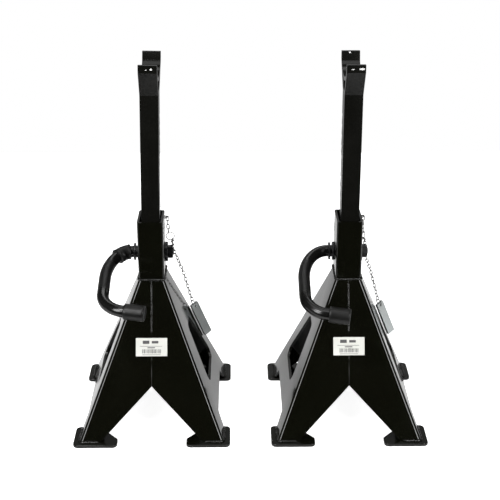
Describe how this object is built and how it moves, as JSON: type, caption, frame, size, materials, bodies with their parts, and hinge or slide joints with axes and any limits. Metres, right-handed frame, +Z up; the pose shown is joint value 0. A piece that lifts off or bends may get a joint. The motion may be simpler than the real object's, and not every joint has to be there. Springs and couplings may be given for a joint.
{
  "type": "axle jack stand pair",
  "caption": "Two ratchet axle jack stands with tapered sheet bases, toothed columns with cradle saddles, bent handles and chained lock bars.",
  "frame": {"origin": "on the floor, midway between the two stands, at the middle of the feet", "axes": "+Z up along the columns, +X from the left stand to the right stand, +Y to the rear, away from the handles' ends"},
  "size_m": [0.5654, 0.286, 0.5947],
  "materials": {
    "black_paint": "gloss black powder coat",
    "weld_paint": "gloss black paint over weld beads",
    "cast_paint": "satin black paint over cast steel",
    "rubber": "smooth black rubber",
    "black_steel": "black oxide",
    "zinc": "blue zinc plating",
    "bright_steel": "bright plated steel",
    "label": "satin white sticker with plain grey bars"
  },
  "bodies": {
    "left_base": {"left_base_half_left": "black_paint", "left_base_half_right": "black_paint", "left_foot_front_left": "black_paint", "left_foot_front_right": "black_paint", "left_foot_rear_left": "black_paint", "left_foot_rear_right": "black_paint", "left_seam_weld_front": "weld_paint", "left_seam_weld_rear": "weld_paint", "left_collar": "black_paint", "left_collar_weld": "weld_paint", "left_chain_anchor": "black_steel", "left_label": "label"},
    "left_column": {"left_ratchet_column": "cast_paint", "left_stop_pin": "bright_steel"},
    "left_handle": {"left_handle": "black_paint", "left_pawl": "black_steel", "left_pawl_pin": "bright_steel", "left_handle_end_sleeve": "rubber", "left_handle_bend_sleeve": "rubber", "left_hub_flange": "black_steel", "left_hub_spacer": "black_steel", "left_hub_washer": "black_steel", "left_pivot_washer": "black_steel", "left_pivot_nut": "black_steel"},
    "left_chain": {"left_upper_chain": "bright_steel", "left_chain_ring": "bright_steel", "left_lower_chain": "bright_steel"},
    "left_lock_bar": {"left_lock_bar": "zinc", "left_lock_bar_ring": "bright_steel"},
    "right_base": {"right_base_half_left": "black_paint", "right_base_half_right": "black_paint", "right_foot_front_left": "black_paint", "right_foot_front_right": "black_paint", "right_foot_rear_left": "black_paint", "right_foot_rear_right": "black_paint", "right_seam_weld_front": "weld_paint", "right_seam_weld_rear": "weld_paint", "right_collar": "black_paint", "right_collar_weld": "weld_paint", "right_chain_anchor": "black_steel", "right_label": "label"},
    "right_column": {"right_ratchet_column": "cast_paint", "right_stop_pin": "bright_steel"},
    "right_handle": {"right_handle": "black_paint", "right_pawl": "black_steel", "right_pawl_pin": "bright_steel", "right_handle_end_sleeve": "rubber", "right_hub_flange": "black_steel", "right_hub_spacer": "black_steel", "right_hub_washer": "black_steel", "right_pivot_washer": "black_steel", "right_pivot_nut": "black_steel"},
    "right_chain": {"right_upper_chain": "bright_steel", "right_chain_ring": "bright_steel", "right_lower_chain": "bright_steel"},
    "right_lock_bar": {"right_lock_bar": "zinc", "right_lock_bar_ring": "bright_steel"}
  },
  "joints": [
    {"name": "left_column_slide", "type": "slide", "parent": "left_base", "child": "left_column", "axis": [0.018, 0, 0.9998], "range_m": [-0.204, 0]},
    {"name": "left_handle_lift", "type": "hinge", "parent": "left_base", "child": "left_handle", "pos_m": [-0.1577, 0.0175, 0.272], "axis": [-1, 0, 0], "range_deg": [0, 16]},
    {"name": "left_chain_swing", "type": "hinge", "parent": "left_base", "child": "left_chain", "pos_m": [-0.1325, 0.016, 0.332], "axis": [0, -1, 0], "range_deg": [0, 60]},
    {"name": "left_lock_bar_swing", "type": "hinge", "parent": "left_chain", "child": "left_lock_bar", "pos_m": [-0.0971, 0.0668, 0.163], "axis": [0.6085, -0.7789, 0.1517], "range_deg": [0, 60]},
    {"name": "stand_spacing", "type": "slide", "parent": "left_base", "child": "right_base", "axis": [1, 0, 0], "range_m": [0, 0.4]},
    {"name": "right_column_slide", "type": "slide", "parent": "right_base", "child": "right_column", "axis": [0, 0, 1], "range_m": [-0.204, 0]},
    {"name": "right_handle_lift", "type": "hinge", "parent": "right_base", "child": "right_handle", "pos_m": [0.1577, 0.0175, 0.272], "axis": [-1, 0, 0], "range_deg": [0, 16]},
    {"name": "right_chain_swing", "type": "hinge", "parent": "right_base", "child": "right_chain", "pos_m": [0.1829, 0.016, 0.332], "axis": [0, -1, 0], "range_deg": [0, 60]},
    {"name": "right_lock_bar_swing", "type": "hinge", "parent": "right_chain", "child": "right_lock_bar", "pos_m": [0.2183, 0.0668, 0.163], "axis": [0.6085, -0.7789, 0.1517], "range_deg": [0, 60]}
  ]
}
